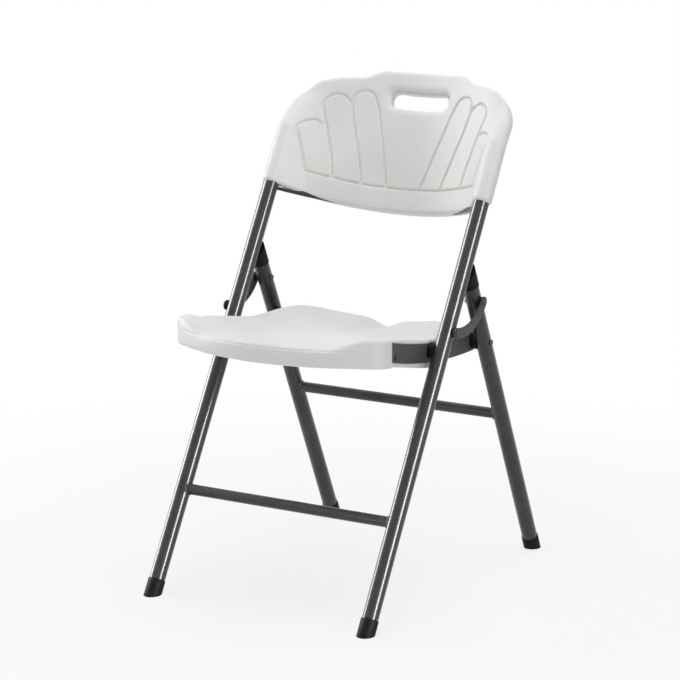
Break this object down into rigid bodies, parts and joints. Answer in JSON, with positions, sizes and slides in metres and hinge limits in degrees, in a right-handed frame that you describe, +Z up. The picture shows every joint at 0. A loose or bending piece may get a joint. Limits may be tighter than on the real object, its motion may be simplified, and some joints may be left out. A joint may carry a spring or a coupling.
{
  "type": "folding chair",
  "caption": "Folding chair with a steel tube frame, a dished plastic seat and a curved plastic back with a hand slot; the seat swings up and the rear legs close against the front tubes.",
  "frame": {"origin": "on the floor, under the middle of the bounding box of the open chair", "axes": "+X across the chair to the sitter's left, +Y from the front feet to the rear feet, +Z up"},
  "size_m": [0.4756, 0.633, 0.8643],
  "materials": {
    "moulding": "off-white blow-moulded plastic, fine grain",
    "frame": "dark grey glossy powder coat",
    "black_plastic": "black moulded plastic",
    "fixings": "dark plated steel"
  },
  "bodies": {
    "front_frame": {"front_tube_left": "frame", "front_tube_right": "frame", "front_cross_bar": "frame", "back_support_bar": "frame", "back_shell": "moulding", "front_foot_left": "black_plastic", "front_foot_right": "black_plastic", "seat_pivot_rivet_left": "fixings", "seat_pivot_rivet_right": "fixings", "seat_pivot_spacer_left": "black_plastic", "seat_pivot_spacer_right": "black_plastic", "link_front_rivet_left": "fixings", "link_front_rivet_right": "fixings", "link_front_spacer_left": "black_plastic", "link_front_spacer_right": "black_plastic"},
    "seat": {"seat_shell": "moulding", "seat_rail_left": "frame", "seat_rail_right": "frame", "seat_rail_screw_left": "fixings", "seat_rail_screw_right": "fixings"},
    "fold_links": {"fold_link_left": "frame", "fold_link_right": "frame", "link_rear_head_left": "fixings", "link_rear_head_right": "fixings"},
    "rear_legs": {"rear_leg_left": "frame", "rear_leg_right": "frame", "rear_cross_bar": "frame", "rear_foot_left": "black_plastic", "rear_foot_right": "black_plastic", "rear_leg_cap_left": "black_plastic", "rear_leg_cap_right": "black_plastic", "leg_pivot_rivet_left": "fixings", "leg_pivot_rivet_right": "fixings", "leg_pivot_spacer_left": "black_plastic", "leg_pivot_spacer_right": "black_plastic", "link_rear_rivet_left": "fixings", "link_rear_rivet_right": "fixings", "link_rear_spacer_left": "black_plastic", "link_rear_spacer_right": "black_plastic"}
  },
  "joints": [
    {"name": "seat_fold", "type": "hinge", "parent": "front_frame", "child": "seat", "pos_m": [0, -0.04993, 0.43301], "axis": [-1, 0, 0], "range_deg": [0, 99]},
    {"name": "link_fold", "type": "hinge", "parent": "front_frame", "child": "fold_links", "pos_m": [0, -0.03199, 0.46422], "axis": [-1, 0, 0], "range_deg": [0, 115.9]},
    {"name": "leg_fold", "type": "hinge", "parent": "seat", "child": "rear_legs", "pos_m": [0, 0.10131, 0.4225], "axis": [1, 0, 0], "range_deg": [0, 43.8]}
  ],
  "couplings": [
    {"joint": "link_fold", "follows": "seat_fold", "ratio": 1.1697},
    {"joint": "leg_fold", "follows": "seat_fold", "ratio": 0.4421}
  ]
}
